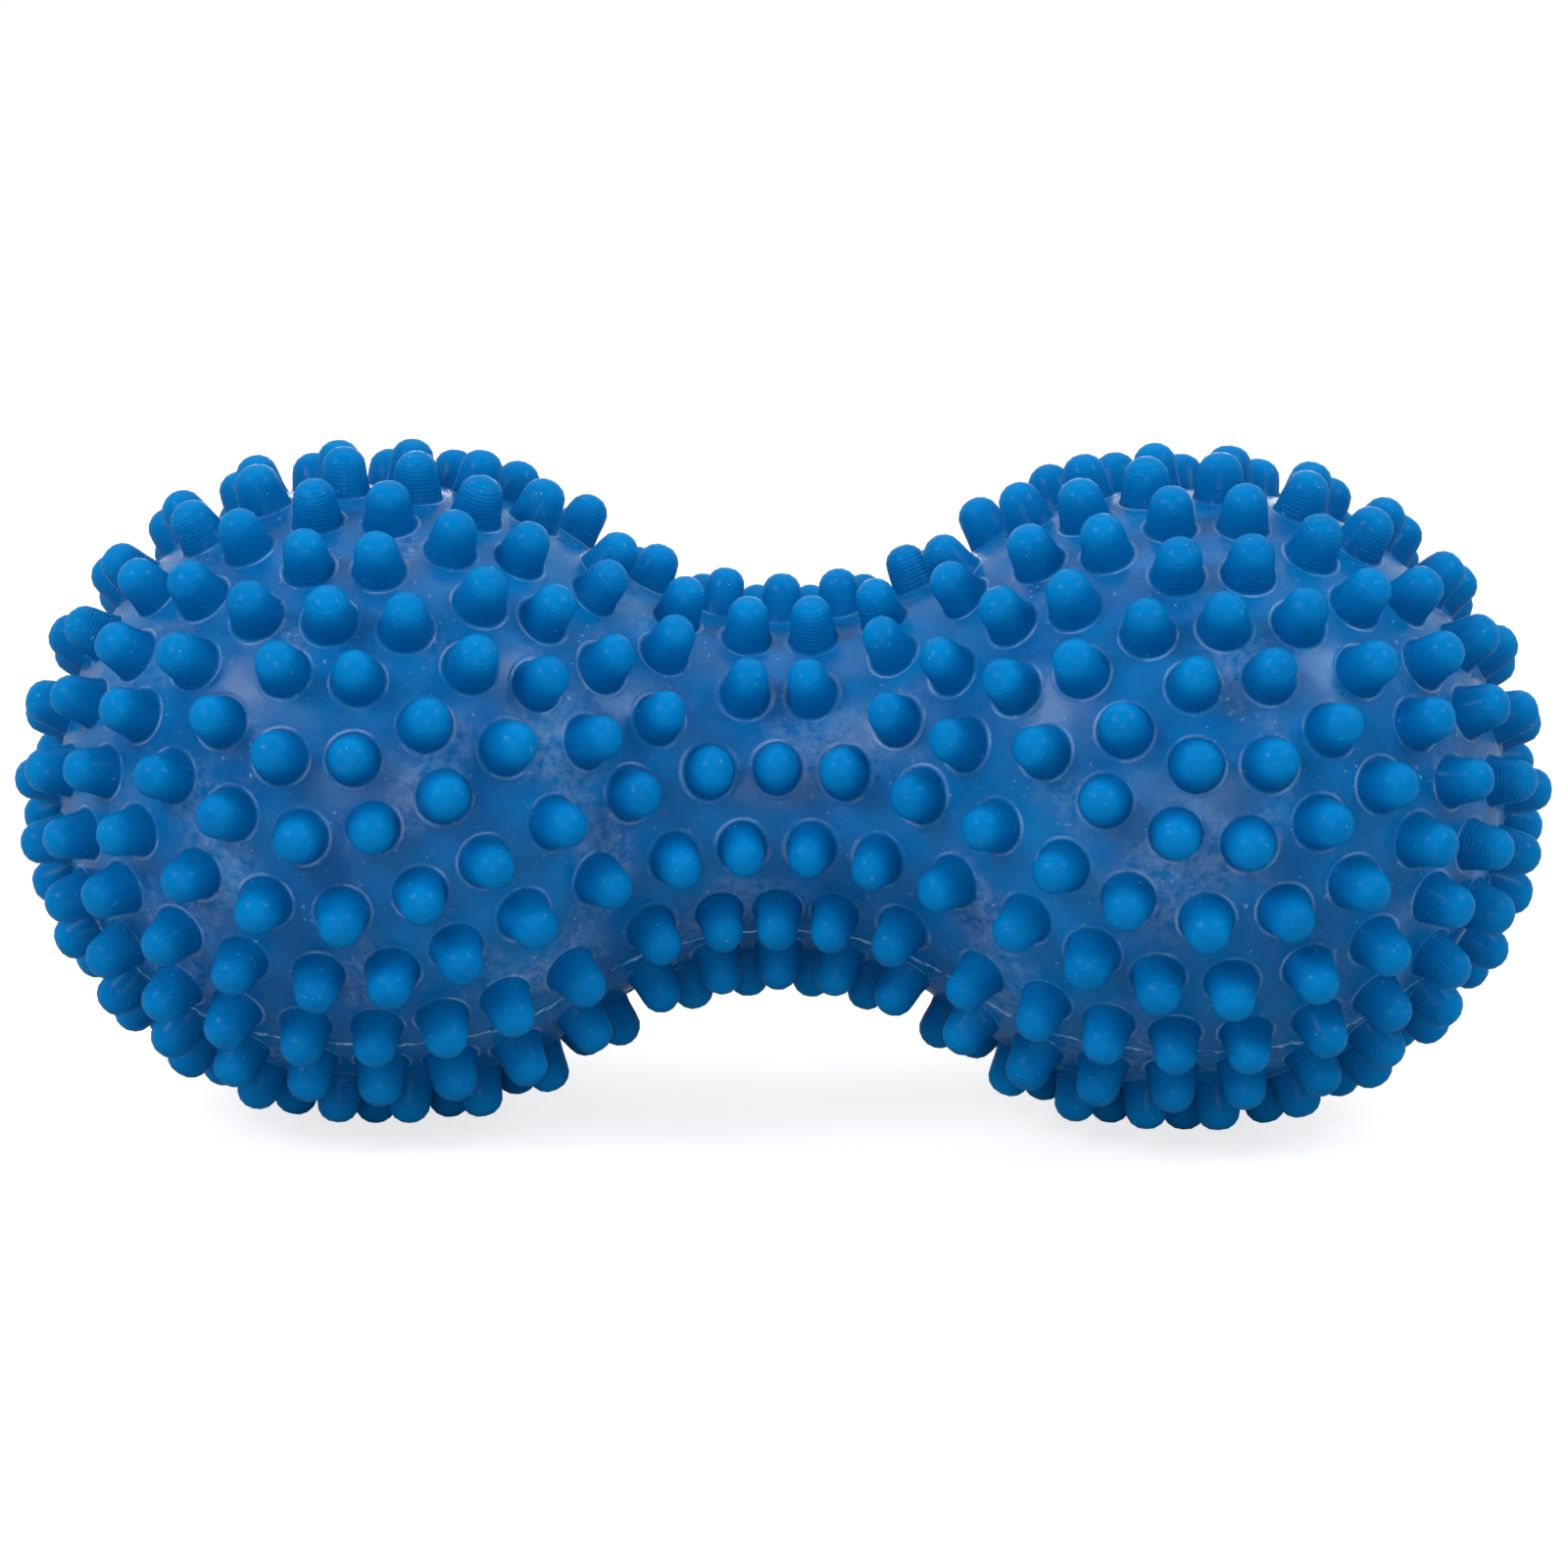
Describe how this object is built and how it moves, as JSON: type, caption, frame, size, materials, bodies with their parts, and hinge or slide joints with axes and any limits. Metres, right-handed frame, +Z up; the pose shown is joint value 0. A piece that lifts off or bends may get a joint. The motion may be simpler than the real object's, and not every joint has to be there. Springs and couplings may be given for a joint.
{
  "type": "massage ball",
  "caption": "Hand-held peanut-shaped massage ball: two round lobes joined by a narrow waist, covered in short blunt nubs, hollow, with a push-in inflation valve.",
  "frame": {"origin": "middle of the footprint, on the floor the ball rests on", "axes": "+X along the long axis, from one lobe to the other; +Z up; +Y away from the viewer"},
  "size_m": [0.1644, 0.074, 0.0734],
  "materials": {
    "shell": "soft moulded PVC, satin nubs on a glossier skin",
    "valve_bushing": "soft moulded PVC, matte",
    "valve_plug": "soft moulded PVC, matte, off-white"
  },
  "bodies": {
    "ball": {"shell": "shell", "valve_bushing": "valve_bushing"},
    "plug": {"valve_plug": "valve_plug"}
  },
  "joints": [
    {"name": "valve_plug_pull", "type": "slide", "parent": "ball", "child": "plug", "axis": [0, 0.7397, -0.673], "range_m": [0, 0.014]}
  ]
}
